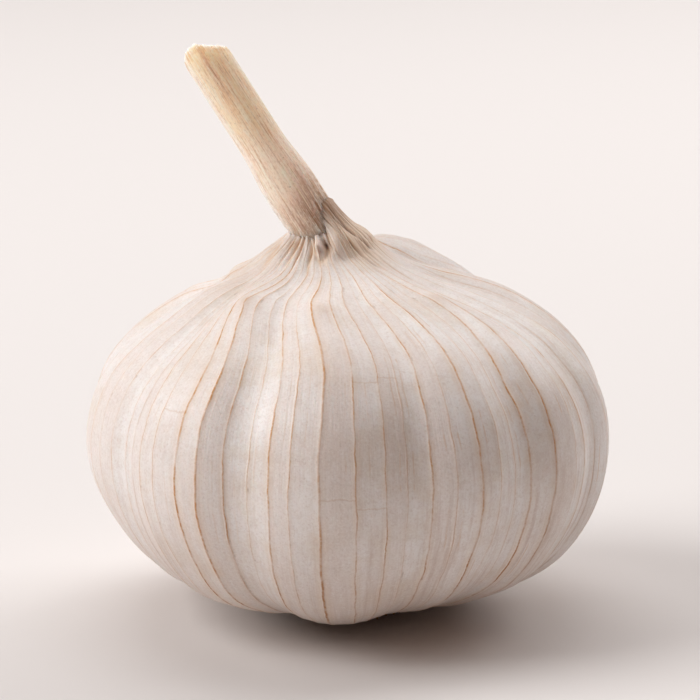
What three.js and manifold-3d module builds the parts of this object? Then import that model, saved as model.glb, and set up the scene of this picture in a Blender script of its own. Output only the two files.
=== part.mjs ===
// A whole garlic bulb standing on its root plate: the papery head with its cloves showing as lobes,
// the dry stalk bent over at the neck, and the root plate with the stubs of the trimmed roots.
// Millimetres, +Z up. The origin is the middle of the flat face under the root plate.
// Azimuths are in degrees round the Z axis: 0 is the front (-Y) and 90 is the right (+X).
import * as THREE from 'three';
import { mergeVertices } from 'three/addons/utils/BufferGeometryUtils.js';
import Module from 'manifold-3d';

const wasm = await Module();
wasm.setup();

// ---- Driving dimensions -------------------------------------------------------------------------

const FIT_GAP = 0.3;

// Mean outline of the head (radius, height), from the dimple over the root plate to the neck's foot.
const HEAD_OUTLINE = [
  [0, 2.9], [6.2, 2.8], [8.4, 2.1], [11.5, 2.4], [17.4, 4.2], [23.6, 7.9], [27.6, 14.0],
  [28.9, 21.2], [27.4, 27.4], [23.6, 32.1], [18.0, 35.5], [12.6, 38.0], [8.6, 40.1], [6.0, 41.8],
];
// The neck goes on from there: radius, height before it folds over, and share of the fold reached.
const NECK_RINGS = [
  [4.7, 42.9, 0.25], [3.95, 43.6, 0.6], [3.4, 44.2, 0.9], [3.2, 44.9, 1],
];
const HEAD_ROWS = 30;
const MID_HEIGHT = 21;

// The stalk's foot stands in a socket in the neck.
const SOCKET_DEPTH = 2.6;
const LIP_THICKNESS = 0.4;

// The neck stands a little to the left of the head's axis, and shifts over between two heights.
const NECK_OFFSET = -3.9;
const OFFSET_HEIGHTS = [33, 44];

// The stalk leans over to the left and slightly back, folded about a crease at the neck's edge.
const LEAN = 35.5;
const LEAN_AZIMUTH = -112;
const FOLD_HEIGHT = 43.2;
const FOLD_RADIUS = 3.4;

// Each clove: where its lobe begins and ends, and how much its shoulder and its belly stand out.
const FIRST_VALLEY = -92;
const CLOVES = [
  { from: -92, to: -58, shoulder: 0.1, belly: -1.1 },
  { from: -58, to: -24, shoulder: 0.1, belly: -0.2 },
  { from: -24, to: 16, shoulder: 0.0, belly: 0.3 },
  { from: 16, to: 42, shoulder: 0.2, belly: -0.7 },
  { from: 42, to: 67, shoulder: 0.0, belly: -0.4 },
  { from: 67, to: 91, shoulder: 0.0, belly: 0.0 },
  { from: 91, to: 116, shoulder: 0.4, belly: 0.0 },
  { from: 116, to: 160, shoulder: 2.6, belly: 0.2 },
  { from: 160, to: 196, shoulder: 0.3, belly: 0.1 },
  { from: 196, to: 233, shoulder: 0.1, belly: 0.3 },
  { from: 233, to: 268, shoulder: 0.2, belly: 0.1 },
];
const LOBE_DEPTH = 1.25;
const LOBE_ROUNDNESS = 2.2;
// Near the neck the skin is drawn tighter over the cloves, which leaves this share of the depth.
const TIGHT_SHARE = 0.7;

// Veins: thin ribs from root to neck, which crowd together as pleats where the skin is gathered.
const VEINS = 60;
const VEIN_HEIGHT = 0.14;
const VEIN_WANDER = 1.3;
const PLEAT_HEIGHT = 0.3;
const PLEAT_RADII = [4, 13];

const STEM_LENGTH = 22.2;
const STEM_ROWS = 14;
const STEM_FOOT_RADIUS = 3.15;
const STEM_RADIUS = 2.62;
const STEM_TAPER_LENGTH = 11;
const STEM_RIDGES = 18;
const RIDGE_HEIGHT = 0.16;
// Below this height the outermost sheath is gone, and the stalk is thinner by its thickness.
const SHEATH_EDGE = 4.2;
const SHEATH_THICKNESS = 0.18;
// How far the cut at the tip drops for each millimetre to the right.
const CUT_SLOPE = 0.4;

// The root plate: a corky disc, flat where it was trimmed, with root stubs round its rim.
const PLATE_RADIUS = 5.9;
const PLATE_FLAT_RADIUS = 4.7;
const PLATE_THICKNESS = 2.1;
const PLATE_SIDES = 28;
const STUBS = 34;
const STUB_SIDES = 5;
const STUB_RADIUS = 0.42;
const STUB_LENGTH = 2;
const GOLDEN_ANGLE = 137.5;

// Points closer together than this are one point.
const WELD_DISTANCE = 1e-4;

// ---- Small helpers ------------------------------------------------------------------------------

const { smoothstep, lerp, clamp, degToRad, euclideanModulo } = THREE.MathUtils;
const UP = new THREE.Vector3(0, 0, 1);

// A repeatable stand-in for chance: the same number from 0 to 1 for the same seed.
function chance(seed) {
  const value = Math.sin(seed * 127.1 + 311.7) * 43758.5453;
  return value - Math.floor(value);
}

function direction(azimuth) {
  const angle = degToRad(azimuth);
  return new THREE.Vector3(Math.sin(angle), -Math.cos(angle), 0);
}

function welded(geometry) {
  const bare = geometry.clone();
  bare.deleteAttribute('normal');
  bare.deleteAttribute('uv');
  return mergeVertices(bare, WELD_DISTANCE);
}

function latheAround(rings, columns) {
  const outline = rings.map(({ radius, height }) => new THREE.Vector2(radius, height));
  return new THREE.LatheGeometry(outline, columns);
}

// Moves every point of a lathe to where place() says for its ring and its column's azimuth, then
// joins the seam and the poles.
function shapedLathe(rings, azimuths, place) {
  const lathe = latheAround(rings, azimuths.length);
  const position = lathe.attributes.position;
  for (let index = 0; index < position.count; index += 1) {
    const column = Math.floor(index / rings.length) % azimuths.length;
    const point = place(rings[index % rings.length], azimuths[column], column);
    position.setXYZ(index, point.x, point.y, point.z);
  }
  return welded(lathe);
}

// ---- The head -----------------------------------------------------------------------------------

const leanWay = direction(LEAN_AZIMUTH);
const foldAxis = new THREE.Vector3().crossVectors(UP, leanWay);
const foldPoint = new THREE.Vector3(NECK_OFFSET, 0, FOLD_HEIGHT).addScaledVector(leanWay, FOLD_RADIUS);

// Turns a point of the upright neck over towards the lean, about the crease on that side.
function foldOver(point, share) {
  return point.sub(foldPoint).applyAxisAngle(foldAxis, degToRad(LEAN * share)).add(foldPoint);
}

// The weights that say how much of each kind of relief shows on a ring of the outer surface.
function reliefWeights(radius, height) {
  const above = height > MID_HEIGHT;
  const tight = smoothstep(height, 24, 38);
  const gathered = above ? 1 - smoothstep(radius, ...PLEAT_RADII) : 0;
  return {
    lobes: smoothstep(radius, 7, 15) * lerp(1, TIGHT_SHARE, tight),
    shoulder: smoothstep(height, 33.5, 38) * smoothstep(radius, 4, 11),
    belly: smoothstep(radius, 8, 14) * (1 - smoothstep(height, 8, 22)),
    ribs: (above ? 1 : smoothstep(radius, 8, 14)) * lerp(VEIN_HEIGHT, PLEAT_HEIGHT, gathered),
  };
}

function outerRings() {
  const controls = [...HEAD_OUTLINE.map(([radius, height]) => [radius, height, 0]), ...NECK_RINGS];
  const points = controls.map(([radius, height, fold]) => new THREE.Vector3(radius, height, fold));
  const curve = new THREE.CatmullRomCurve3(points, false, 'centripetal');
  const rings = [];
  for (let row = 0; row <= HEAD_ROWS; row += 1) {
    const { x: radius, y: height, z: fold } = curve.getPoint(row / HEAD_ROWS);
    const along = curve.getTangent(row / HEAD_ROWS);
    const outward = new THREE.Vector2(along.y, -along.x).normalize();
    rings.push({ radius, height, fold: clamp(fold, 0, 1), outward, ...reliefWeights(radius, height) });
  }
  return rings;
}

// The socket in the neck: over the lip, down the socket's wall and across its floor.
function socketRings(lip) {
  const bare = { fold: 1, outward: new THREE.Vector2(), lobes: 0, shoulder: 0, belly: 0, ribs: 0 };
  const radius = lip.radius - LIP_THICKNESS;
  const floor = lip.height - SOCKET_DEPTH;
  return [
    { ...bare, radius, height: lip.height },
    { ...bare, radius, height: floor },
    { ...bare, radius: 0, height: floor },
  ];
}

// Every second column of the head runs along a vein, and the veins are not quite evenly spaced.
function headAzimuths() {
  const veinAt = (vein) => (360 / VEINS) * vein + VEIN_WANDER * (2 * chance(vein % VEINS) - 1);
  const azimuths = [];
  for (let vein = 0; vein < VEINS; vein += 1) {
    azimuths.push(veinAt(vein), (veinAt(vein) + veinAt(vein + 1)) / 2);
  }
  return azimuths;
}

// How far the skin stands out over the cloves: most on a clove's crest, nothing in the valleys.
function lobeHeight(azimuth, ring) {
  const turned = euclideanModulo(azimuth - FIRST_VALLEY, 360) + FIRST_VALLEY;
  const clove = CLOVES.find(({ from, to }) => turned >= from && turned < to);
  const middle = (clove.from + clove.to) / 2;
  const across = (turned - middle) / (clove.to - middle);
  const bulge = 1 - Math.abs(across) ** LOBE_ROUNDNESS;
  return bulge * (LOBE_DEPTH * ring.lobes + clove.shoulder * ring.shoulder + clove.belly * ring.belly);
}

function headGeometry() {
  const outer = outerRings();
  const rings = [...outer, ...socketRings(outer.at(-1))];
  return shapedLathe(rings, headAzimuths(), (ring, azimuth, column) => {
    const rib = column % 2 === 0 ? ring.ribs : 0;
    const relief = lobeHeight(azimuth, ring) + rib;
    const point = direction(azimuth).multiplyScalar(ring.radius + relief * ring.outward.x);
    point.x += NECK_OFFSET * smoothstep(ring.height, ...OFFSET_HEIGHTS);
    point.z = ring.height + relief * ring.outward.y;
    return foldOver(point, ring.fold);
  });
}

// ---- The stalk ----------------------------------------------------------------------------------

// The rings of the stalk in its own frame, from the plug in the socket to the cut tip.
function stemRings() {
  const lipRadius = NECK_RINGS.at(-1)[0];
  const plug = { radius: lipRadius - LIP_THICKNESS - FIT_GAP, ridges: 0, cut: 0 };
  const rings = [
    { ...plug, radius: 0, height: 0 },
    { ...plug, height: 0 },
    { ...plug, height: SOCKET_DEPTH },
  ];
  for (let row = 0; row <= STEM_ROWS; row += 1) {
    const above = (row / STEM_ROWS) * STEM_LENGTH;
    const width = lerp(STEM_FOOT_RADIUS, STEM_RADIUS, smoothstep(above, 0, STEM_TAPER_LENGTH));
    const bared = 1 - smoothstep(above, SHEATH_EDGE - 0.5, SHEATH_EDGE + 0.5);
    rings.push({
      radius: width - SHEATH_THICKNESS * bared,
      height: SOCKET_DEPTH + above,
      ridges: smoothstep(above, -1, 1),
      cut: smoothstep(above, STEM_LENGTH * 0.7, STEM_LENGTH),
    });
  }
  rings.push({ ...rings.at(-1), radius: 0 });
  return rings;
}

function stemGeometry() {
  const columns = STEM_RIDGES * 2;
  const azimuths = Array.from({ length: columns }, (_, column) => (360 / columns) * column);
  return shapedLathe(stemRings(), azimuths, (ring, azimuth, column) => {
    const ridge = column % 2 === 0 ? RIDGE_HEIGHT * (0.3 + chance(column)) : 0;
    const onAxis = ring.radius === 0;
    const point = direction(azimuth).multiplyScalar(onAxis ? 0 : ring.radius + ridge * ring.ridges);
    point.z = ring.height - CUT_SLOPE * point.x * ring.cut;
    return point;
  });
}

// ---- The root plate -----------------------------------------------------------------------------

function toSolid(geometry) {
  const { attributes, index } = welded(geometry);
  const vertProperties = new Float32Array(attributes.position.array);
  const triVerts = new Uint32Array(index.array);
  return new wasm.Manifold(new wasm.Mesh({ numProp: 3, vertProperties, triVerts }));
}

function toGeometry(solid) {
  const { vertProperties, triVerts } = solid.getMesh();
  const geometry = new THREE.BufferGeometry();
  geometry.setAttribute('position', new THREE.BufferAttribute(new Float32Array(vertProperties), 3));
  geometry.setIndex(new THREE.BufferAttribute(new Uint32Array(triVerts), 1));
  return geometry;
}

function plateDisc() {
  const rings = [
    { radius: 0, height: 0 },
    { radius: PLATE_FLAT_RADIUS, height: 0 },
    { radius: PLATE_RADIUS, height: PLATE_THICKNESS * 0.25 },
    { radius: PLATE_RADIUS * 1.02, height: PLATE_THICKNESS * 0.6 },
    { radius: PLATE_RADIUS * 0.86, height: PLATE_THICKNESS },
    { radius: 0, height: PLATE_THICKNESS },
  ];
  return latheAround(rings, PLATE_SIDES).rotateX(Math.PI / 2);
}

// One trimmed root: a short peg that leans outward and down from the plate's rim.
function rootStub(number) {
  const out = direction(number * GOLDEN_ANGLE);
  const spread = Math.sqrt((number + 0.5) / STUBS);
  const lean = degToRad(lerp(20, 80, spread));
  const way = UP.clone().multiplyScalar(-Math.cos(lean)).addScaledVector(out, Math.sin(lean));
  const turn = new THREE.Quaternion().setFromUnitVectors(new THREE.Vector3(0, 1, 0), way);
  const foot = out.clone().multiplyScalar(PLATE_RADIUS * lerp(0.75, 0.95, spread));
  foot.z = lerp(0.9, 1.3, chance(number + 0.9));
  const length = STUB_LENGTH * lerp(0.8, 1.2, chance(number + 0.3));
  const radius = STUB_RADIUS * lerp(0.75, 1.25, chance(number + 0.6));
  return new THREE.CylinderGeometry(radius * 0.85, radius, length, STUB_SIDES)
    .translate(0, length / 4, 0)
    .applyQuaternion(turn)
    .translate(foot.x, foot.y, foot.z);
}

// The stubs are grown into the disc, and everything is trimmed level with its flat face.
function rootPlateGeometry() {
  let solid = toSolid(plateDisc());
  for (let number = 0; number < STUBS; number += 1) {
    solid = solid.add(toSolid(rootStub(number)));
  }
  const room = PLATE_RADIUS * 4;
  const below = new THREE.BoxGeometry(room, room, room).translate(0, 0, -room / 2);
  return toGeometry(solid.subtract(toSolid(below)));
}

// ---- Materials and meshes -----------------------------------------------------------------------

function skin() {
  return new THREE.MeshStandardMaterial({ color: 0xe9ded3, roughness: 0.6, metalness: 0 });
}

function dryStalk() {
  return new THREE.MeshStandardMaterial({ color: 0xd6b48c, roughness: 0.8, metalness: 0 });
}

function cork() {
  return new THREE.MeshStandardMaterial({ color: 0x8c6f55, roughness: 0.95, metalness: 0 });
}

function named(name, geometry, material) {
  const mesh = new THREE.Mesh(geometry, material);
  mesh.name = name;
  return mesh;
}

function seatedStem() {
  const stem = named('stem', stemGeometry(), dryStalk());
  const lipHeight = NECK_RINGS.at(-1)[1];
  const foot = new THREE.Vector3(NECK_OFFSET, 0, lipHeight - SOCKET_DEPTH + FIT_GAP);
  stem.position.copy(foldOver(foot, 1));
  stem.quaternion.setFromAxisAngle(foldAxis, degToRad(LEAN));
  return stem;
}

const garlic = new THREE.Group();
garlic.add(
  named('bulb', headGeometry(), skin()),
  seatedStem(),
  named('root_plate', rootPlateGeometry(), cork()),
);

export default garlic;
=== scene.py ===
# %% [markdown]
# # A whole garlic bulb
# A garlic bulb is a ring of cloves wrapped in dry leaves. The outermost leaf is a white papery
# skin, drawn so tight that each clove shows as a soft lobe. At the top the leaves are gathered
# into a neck and go on as a dry stalk, which was bent over and cut. Under the bulb sits a corky
# root plate with the stubs of the trimmed roots.
#
# The CAD frame already has these three things at their real size: `bulb`, `stem` and
# `root_plate`. This lesson dresses each one with a finer piece of the same form.

# %% Load the frame
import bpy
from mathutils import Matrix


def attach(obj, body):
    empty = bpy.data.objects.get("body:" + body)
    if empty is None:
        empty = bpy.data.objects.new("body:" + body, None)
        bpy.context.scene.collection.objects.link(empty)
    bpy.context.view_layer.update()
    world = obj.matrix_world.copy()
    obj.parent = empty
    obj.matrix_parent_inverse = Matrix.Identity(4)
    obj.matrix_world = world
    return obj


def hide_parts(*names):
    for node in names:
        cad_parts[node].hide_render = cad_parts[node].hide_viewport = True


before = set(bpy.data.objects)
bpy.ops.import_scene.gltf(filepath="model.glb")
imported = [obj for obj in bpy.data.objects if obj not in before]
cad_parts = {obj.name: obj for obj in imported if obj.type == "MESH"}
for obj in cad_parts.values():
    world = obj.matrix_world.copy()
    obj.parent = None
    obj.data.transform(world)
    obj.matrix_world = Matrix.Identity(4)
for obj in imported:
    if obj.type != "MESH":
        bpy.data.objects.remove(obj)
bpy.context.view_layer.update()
print("CAD nodes:", sorted(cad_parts))

# %% Tools and units
import math

import bmesh
import bpy
import numpy as np
from mathutils import Vector, noise

MM = 0.001
SEED = 41
rng = np.random.default_rng(SEED)


def lerp(start, end, share):
    """start where share is 0, end where it is 1, and a straight way between them."""
    return start + (end - start) * share


def ease(value, low, high):
    """0 below low, 1 above high, and an S-curve between them."""
    share = np.clip((value - low) / (high - low), 0, 1)
    return share * share * (3 - 2 * share)


def band(value, rise_from, rise_to, fall_from, fall_to):
    """1 inside a band of values and 0 outside it, with an S-curve at both edges."""
    return ease(value, rise_from, rise_to) * (1 - ease(value, fall_from, fall_to))


def bell(value, middle, half_width):
    """A bell curve: 1 at the middle, and fading out on both sides."""
    return np.exp(-((value - middle) / half_width) ** 2)


def unrolled(azimuth, start):
    """The same heading, as a number from start to start + 360."""
    return (azimuth - start) % 360 + start


def heading(azimuth):
    """x and y of a compass heading in degrees: 0 is the front (-Y) and 90 is the right (+X)."""
    angle = np.radians(azimuth)
    return np.sin(angle), -np.cos(angle)


# %% [markdown]
# ## The outline
# The skin is close to a surface of revolution, so its form starts from one half outline: a few
# points of radius and height, joined by a smooth spline. A third number rides along on the same
# spline. It is the share of the fold, 0 on the upright bulb and 1 where the neck has leaned over
# with the stalk. One spline for all three keeps the bend as smooth as the outline itself.

# %% Outline of the head and neck
OUTLINE = np.array([
    (0, 2.9, 0), (6.2, 2.8, 0), (8.4, 2.1, 0), (11.5, 2.4, 0), (17.4, 4.2, 0), (23.6, 7.9, 0),
    (27.6, 14.0, 0), (28.9, 21.2, 0), (27.4, 27.4, 0), (23.6, 32.1, 0), (18.0, 35.5, 0),
    (12.6, 38.0, 0), (8.6, 40.1, 0), (6.0, 41.8, 0),
    (4.7, 42.9, 0.25), (3.95, 43.6, 0.6), (3.4, 44.2, 0.9), (3.2, 44.9, 1),
])
LIP = len(OUTLINE) - 1


def outline_at(place):
    """Radius, height and fold share at a place along the outline, counted in its points."""
    whole = np.clip(np.floor(place).astype(int), 0, LIP - 1)
    part = (place - whole)[..., None]
    padded = np.vstack([2 * OUTLINE[0] - OUTLINE[1], OUTLINE, 2 * OUTLINE[-1] - OUTLINE[-2]])
    before, start, end, after = (padded[whole + shift] for shift in range(4))
    gaps = [np.linalg.norm(b - a, axis=-1, keepdims=True) ** 0.5
            for a, b in ((before, start), (start, end), (end, after))]
    leave = ((start - before) / gaps[0] - (end - before) / (gaps[0] + gaps[1])
             + (end - start) / gaps[1]) * gaps[1]
    arrive = ((end - start) / gaps[1] - (after - start) / (gaps[1] + gaps[2])
              + (after - end) / gaps[2]) * gaps[1]
    square, cube = part ** 2, part ** 3
    point = (start + leave * part + (3 * (end - start) - 2 * leave - arrive) * square
             + (2 * (start - end) + leave + arrive) * cube)
    return point[..., 0], point[..., 1], np.clip(point[..., 2], 0, 1)


print("outline from", OUTLINE[0, :2], "to", OUTLINE[-1, :2], "mm")

# %% [markdown]
# ## The fold
# The stalk leans to the left and slightly back. It hinges about a crease at the edge of the
# neck, so the skin on the far side of the crease is lifted and stretched into a flare.

# %% Fold of the neck
NECK_OFFSET = -3.9
OFFSET_HEIGHTS = (33, 44)
LEAN = 35.5
LEAN_AZIMUTH = -112
FOLD_HEIGHT = 43.2
FOLD_RADIUS = 3.4

lean_way = np.array([*heading(LEAN_AZIMUTH), 0])
fold_axis = np.cross([0, 0, 1], lean_way)
fold_point = np.array([NECK_OFFSET, 0, FOLD_HEIGHT]) + lean_way * FOLD_RADIUS


def fold_over(points, share):
    """Turns points of the upright neck over towards the lean, about the crease on that side."""
    arm = points - fold_point
    angle = np.radians(LEAN) * share[..., None]
    turned = (arm * np.cos(angle) + np.cross(fold_axis, arm) * np.sin(angle)
              + fold_axis * (arm @ fold_axis)[..., None] * (1 - np.cos(angle)))
    return turned + fold_point


print("the neck folds about", np.round(fold_point, 2), "mm")

# %% [markdown]
# ## The veins
# Veins run from the root plate to the neck. They are the bulb's own grid: the sheet between two
# veins is one nearly flat panel, and everything fine on the skin follows them. So the mesh takes
# its columns from the veins too. The veins at the front are placed one by one, each with its
# strength, and the rest follow a rule with a seeded draw.

# %% Places and strengths of the veins
# Azimuth in degrees, strength of the line, and how far the skin stands off there in mm.
FRONT_VEINS = [
    (-90, 0.3, 0), (-82, 0.35, 0.04), (-74, 0.5, 0.06), (-68, 0.3, 0), (-62.5, 0.5, 0.1), (-58, 0.4, 0),
    (-54.5, 0.35, -0.05), (-50.5, 0.7, 0.06), (-46, 0.5, 0), (-38.5, 1.0, 0.05), (-33, 0.95, 0.2),
    (-27.5, 0.75, -0.12), (-22, 0.45, -0.16), (-17, 0.85, -0.02), (-11.9, 0.65, 0.06), (-6, 0.95, 0.2),
    (1.6, 0.75, 0.02), (7.5, 0.7, -0.08), (12.6, 0.35, -0.13), (18, 0.8, -0.12), (23.5, 0.45, 0),
    (29, 0.9, 0.18), (33.5, 0.5, -0.02), (38.5, 0.45, -0.2), (43, 1.0, -0.18), (50, 0.85, 0.06),
    (57, 0.35, 0.1), (61, 0.9, 0.1), (70, 0.5, -0.05), (77, 0.5, 0.05), (84, 0.3, 0),
]
BACK_VEINS = 29
BACK_SHIFT = 0.25
BACK_STRENGTHS = (0.3, 0.95)
BACK_LIFTS = (-0.14, 0.16)
BACK_DARKS = (-0.5, 0.8)
# Where one sheet laps over another, the edge is brown with painted shade beside it: azimuth and amount.
LAPPED_VEINS = ((50, 0.75), (61, 1.0), (70, 0.6), (29, 0.2), (-27.5, 0.35), (-54.5, 0.4), (-6, 0.2))
VEINS = len(FRONT_VEINS) + BACK_VEINS

shifts = rng.uniform(-BACK_SHIFT, BACK_SHIFT, BACK_VEINS)
back_azimuth = 90 + 180 / (BACK_VEINS + 1) * (np.arange(BACK_VEINS) + 0.5 + shifts)
front_azimuth, front_strength, front_lift = np.array(FRONT_VEINS).T
vein_azimuth = np.concatenate([front_azimuth, back_azimuth, [270]])
vein_strength = np.concatenate([front_strength, rng.uniform(*BACK_STRENGTHS, BACK_VEINS), front_strength[:1]])
vein_lift = np.concatenate([front_lift, rng.uniform(*BACK_LIFTS, BACK_VEINS), front_lift[:1]])
vein_dark = np.concatenate([0 * front_lift, rng.uniform(*BACK_DARKS, BACK_VEINS).clip(0), [0]])
for azimuth, amount in LAPPED_VEINS:
    vein_dark[np.argmin(np.abs(vein_azimuth - azimuth))] = amount
print(VEINS, "veins")

# %% [markdown]
# ## The grid of the skin
# Every point of the skin lies on a row and a column. Columns crowd together next to each vein,
# and rows crowd together towards the neck, so the faces go where the detail is.

# %% Columns, crowded next to the veins
# A crowding of 0 spaces the columns evenly, and 1 would press them together at the vein.
COLUMNS_PER_VEIN = 12
SKIN_COLUMNS = VEINS * COLUMNS_PER_VEIN
VEIN_CROWDING = 0.75


def crowded(turn):
    """Moves even columns towards the nearest vein. The result counts veins."""
    vein = turn * VEINS
    return vein - VEIN_CROWDING * np.sin(2 * math.pi * vein) / (2 * math.pi)


vein = crowded(np.arange(SKIN_COLUMNS) / SKIN_COLUMNS)
left_vein = vein.astype(int)
across = vein - left_vein


def from_veins(values, share=across):
    """Values that are known at the veins, read at the columns between them."""
    return lerp(values[..., left_vein], values[..., left_vein + 1], share)


# %% Rows, crowded towards the neck
SKIN_ROWS = 130
INNER_ROWS = 6
ROW_GAPS = (0.22, 0.97)
ROW_GAP_RADII = (3.5, 22)
FINE_STEPS = 4000

fine_place = np.linspace(0, LIP, FINE_STEPS)
fine_radius, fine_height, _ = outline_at(fine_place)
step = np.hypot(np.diff(fine_radius), np.diff(fine_height))
travelled = np.concatenate([[0], np.cumsum(step)])
row_gap = lerp(*ROW_GAPS, ease(fine_radius, *ROW_GAP_RADII))
crowd = np.concatenate([[0], np.cumsum(step / row_gap[1:])])
row_place = np.interp(np.linspace(0, crowd[-1], SKIN_ROWS + 1 - INNER_ROWS), crowd, fine_place)
SKIN_LENGTH = travelled[-1]
print("a vein is", round(SKIN_LENGTH, 1), "mm long")

# %% Courses of the veins
# The veins wander slowly and shiver quickly: pace along the outline and size of each wave.
SLOW_WAVES = ((0.35, 0.6), (0.8, 0.35), (1.7, 0.2))
QUICK_WAVES = ((4.2, 0.7), (8.3, 0.4), (13.0, 0.25))
WANDER = 0.6
SHIVER = 0.13
# Over the front of the shoulder the veins fan out, by so many degrees at these azimuths.
FAN_AZIMUTHS = [-90, -72, -50, -38, -17, -6, 10, 29, 43, 60, 95, 180, 270]
FAN_DEGREES = [0, 0, -4, -7.5, -6.5, -3, 0, 2, 8, 5, 0, 0, 0]
FAN_RADII = (5, 13, 13, 26)
NECK_TWIST = 8
TWIST_RADII = (6, 13)
UPPER_HALF = (21, 30)


def waves(kinds, seed):
    """For each vein, a random wavy curve from about -1 to 1 along the rows."""
    draw = np.random.default_rng(seed)
    total = 0
    for pace, size in kinds:
        phase = draw.uniform(0, 2 * math.pi, (VEINS, 1))
        total = total + size * np.sin(phase + pace * draw.uniform(0.8, 1.2, (VEINS, 1)) * row_place)
    return np.vstack([total, total[:1]])


row_radius, row_height, _ = outline_at(row_place)
fan = band(row_radius, *FAN_RADII) * np.interp(vein_azimuth, FAN_AZIMUTHS, FAN_DEGREES)[:, None]
twist = NECK_TWIST * (1 - ease(row_radius, *TWIST_RADII))
courses = vein_azimuth[:, None] + WANDER * waves(SLOW_WAVES, seed=7) + SHIVER * waves(QUICK_WAVES, seed=8)
courses = (courses + ease(row_height, *UPPER_HALF) * (fan + twist)).T

# %% Lay the grid on the outline
azimuth = from_veins(courses)
place = np.broadcast_to(row_place[:, None], azimuth.shape)
radius, height, fold_share = outline_at(place)
upper = ease(height, *UPPER_HALF)
pitch = np.radians(courses[:, left_vein + 1] - courses[:, left_vein]) * radius
gap = np.minimum(across, 1 - across) * pitch


def spot(middle, at, half_width, half_length, size):
    """A soft spot of some size round an azimuth and an outline place, in degrees and places."""
    return size * bell(unrolled(azimuth - middle, -180), 0, half_width) * bell(place, at, half_length)


print("grid of", azimuth.shape, "points, up to", round(pitch.max(), 1), "mm from vein to vein")

# %% [markdown]
# ## The cloves under the skin
# Each clove lifts the skin between two valleys. Because the dry skin spans a valley like a drum,
# the valleys are soft: the lobes are averaged over a few degrees. The tip of a clove also pokes
# at the skin from below, where the shoulder turns into the neck.

# %% Lobes
VALLEYS = np.array([-92, -58, -24, 16, 42, 67, 91, 116, 160, 196, 233, 268])
# How much fuller each clove is than the outline, in mm, at the shoulder and at the belly.
SHOULDER = np.array([0.1, 0.1, 0.0, 0.2, 0.0, 0.0, 0.5, 2.6, 0.3, 0.1, 0.2])
BELLY = np.array([-1.1, -0.8, -0.2, -1.3, -0.6, 0.0, 0.0, 0.2, 0.1, 0.3, 0.1])
SHOULDER_HEIGHTS = (32.3, 37.6)
SHOULDER_RADII = (4, 11)
BELLY_HEIGHTS = (8, 22)
BELLY_RADII = (8, 14)
LOBE_DEPTH = 1.25
LOBE_RADII = (7, 15)
LOBE_ROUNDNESS = 2.2
TIGHT_SHARE = 0.7
TIGHT_HEIGHTS = (24, 38)
DRUM_HALF_WIDTH = 3.0
DRUM_STEPS = 5

tightness = lerp(1, TIGHT_SHARE, ease(height, *TIGHT_HEIGHTS))
all_over = LOBE_DEPTH * ease(radius, *LOBE_RADII) * tightness
at_shoulder = ease(height, *SHOULDER_HEIGHTS) * ease(radius, *SHOULDER_RADII)
at_belly = ease(radius, *BELLY_RADII) * (1 - ease(height, *BELLY_HEIGHTS))
lobes = 0
for shift in np.linspace(-DRUM_HALF_WIDTH, DRUM_HALF_WIDTH, DRUM_STEPS):
    turned = unrolled(azimuth + shift, VALLEYS[0])
    clove = np.clip(np.searchsorted(VALLEYS, turned, side="right") - 1, 0, len(SHOULDER) - 1)
    middle = (VALLEYS[clove] + VALLEYS[clove + 1]) / 2
    bulge = 1 - np.abs((turned - middle) / (VALLEYS[clove + 1] - middle)) ** LOBE_ROUNDNESS
    lobes = lobes + bulge * (all_over + SHOULDER[clove] * at_shoulder + BELLY[clove] * at_belly) / DRUM_STEPS
print("lobes stand off by", round(lobes.min(), 1), "to", round(lobes.max(), 1), "mm")

# %% Tips of the cloves
# How much the tip of each clove pokes at the skin.
TIP = (0.3, 1.0, 0.9, 0.2, 1.0, 0.2, 0.5, 0.3, 0.8, 0.4, 0.3)
TIP_RADIUS = 14
TIP_SIZE = 1.5
TIP_NARROWING = 1.2
TIP_SHARPNESS = 1.5
TIP_HEIGHT = 0.42
LOWEST_TIP = 30
# Where the bulb is fuller or flatter than its even cloves: azimuth in degrees, place along the
# outline, half width in degrees, half length in places, height in mm.
FULLER_SPOTS = (
    (102, 9.95, 17, 0.55, 0.6), (140, 11.1, 22, 0.7, 0.4), (125, 9.6, 9, 0.3, -0.58),
    (250, 10.75, 20, 0.5, -0.85), (98, 7.1, 26, 1.3, -0.12), (311, 4.4, 12, 0.6, 0.5),
)

tips = 0
for middle, size in zip((VALLEYS[:-1] + VALLEYS[1:]) / 2, TIP):
    aside = np.radians(unrolled(azimuth - middle, -180)) * radius
    reach = np.hypot(aside * TIP_NARROWING, radius - TIP_RADIUS) / TIP_SIZE
    tips = tips + size * np.exp(-reach ** TIP_SHARPNESS) * (height > LOWEST_TIP)
fuller = sum(spot(*where) for where in FULLER_SPOTS)
print("fuller and flatter spots from", round(fuller.min(), 2), "to", round(fuller.max(), 2), "mm")

# %% Panels and veins
VEIN_HEIGHT = 0.05
VEIN_HALF_WIDTH = 0.2
VEIN_EDGE = (0.3, 0.7)
VEIN_LIFT_RADII = (12, 24)
PANEL_HEIGHT = 0.05
PANEL_SAG = 0.03
PANEL_RADII = (6, 16)
ROOT_RIPPLE = 0.25
ROOT_RADII = (6, 12)
RIPPLE_PACES = (2.7, 1.3)

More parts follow.
